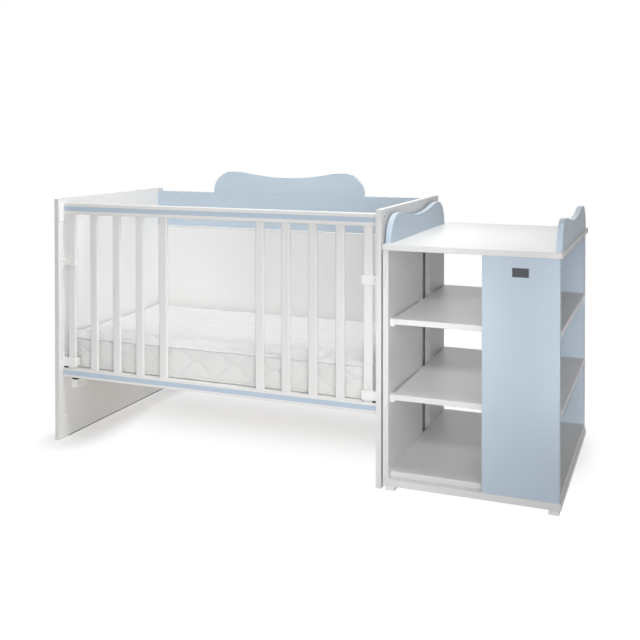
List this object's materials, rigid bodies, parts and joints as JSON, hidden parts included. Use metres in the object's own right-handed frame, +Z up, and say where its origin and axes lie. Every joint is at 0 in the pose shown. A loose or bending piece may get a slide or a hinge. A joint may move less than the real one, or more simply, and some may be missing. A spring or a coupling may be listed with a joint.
{
  "type": "convertible crib",
  "caption": "Baby crib with a drop-down slatted side and a mattress, joined to an open changing cabinet with shelves and a top between wavy guards; white and pale blue boards.",
  "frame": {"origin": "on the floor, under the middle of the object's box", "axes": "+X along the crib from its free end to the cabinet, +Y from the front to the back, +Z up"},
  "size_m": [1.813, 0.772, 0.964],
  "materials": {
    "white_board": "satin white coated board",
    "blue_board": "satin pale blue coated board",
    "white_lacquer": "satin white lacquer",
    "blue_inlay": "satin pale blue strip",
    "white_plastic": "moulded white plastic",
    "button_plastic": "moulded white plastic",
    "black_rubber": "matte black rubber",
    "bare_timber": "planed bare timber",
    "steel": "zinc plated",
    "mattress_cover": "white quilted cotton",
    "badge": "dark grey plate, bare"
  },
  "bodies": {
    "frame": {"end_panel_left": "white_board", "end_panel_right": "white_board", "back_panel": "white_board", "cabinet_base": "white_board", "side_panel_front": "white_board", "side_panel_rear": "white_board", "shelf_lower": "white_board", "shelf_middle": "white_board", "shelf_upper": "white_board", "changing_top": "white_board", "back_rail": "blue_board", "back_crest": "blue_board", "front_cover": "blue_board", "rear_cover": "blue_board", "guard_left": "blue_board", "guard_right": "blue_board", "upper_guide_left": "white_plastic", "upper_guide_right": "white_plastic", "lower_guide_left": "white_plastic", "lower_guide_right": "white_plastic", "rail_plate_left": "white_plastic", "rail_plate_right": "white_plastic", "catch_plate_left": "white_plastic", "catch_plate_right": "white_plastic", "base_supports": "white_plastic", "shelf_brackets": "white_plastic", "cabinet_feet": "white_plastic", "guide_bumper_left": "black_rubber", "guide_bumper_right": "black_rubber", "joining_spacers": "black_rubber", "support_pads": "black_rubber", "base_bearer_front": "bare_timber", "base_bearer_rear": "bare_timber", "base_slats": "bare_timber", "crib_dowels": "bare_timber", "cabinet_dowels": "bare_timber", "plate_bolts": "steel", "hardware_screws": "steel", "bracket_screws": "steel", "joining_bolts": "steel", "badge_plate": "badge"},
    "drop_side": {"drop_top_rail": "white_lacquer", "drop_bottom_rail": "white_lacquer", "top_rail_inlay": "blue_inlay", "bottom_rail_inlay": "blue_inlay", "slat_1": "white_lacquer", "slat_2": "white_lacquer", "slat_3": "white_lacquer", "slat_4": "white_lacquer", "slat_5": "white_lacquer", "slat_6": "white_lacquer", "slat_7": "white_lacquer", "slat_8": "white_lacquer", "slat_9": "white_lacquer", "slat_10": "white_lacquer"},
    "button_left": {"release_button_left": "button_plastic"},
    "button_right": {"release_button_right": "button_plastic"},
    "mattress_body": {"mattress": "mattress_cover"}
  },
  "joints": [
    {"name": "drop_side_slide", "type": "slide", "parent": "frame", "child": "drop_side", "axis": [0, 0, -1], "range_m": [0, 0.156]},
    {"name": "button_left_press", "type": "slide", "parent": "frame", "child": "button_left", "axis": [0, 1, 0], "range_m": [0, 0.003], "stiffness_N_per_m": 600, "springref_m": -0.003},
    {"name": "button_right_press", "type": "slide", "parent": "frame", "child": "button_right", "axis": [0, 1, 0], "range_m": [0, 0.003], "stiffness_N_per_m": 600, "springref_m": -0.003},
    {"name": "mattress_lift", "type": "slide", "parent": "frame", "child": "mattress_body", "axis": [0, 0, 1], "range_m": [0, 0.64]}
  ]
}
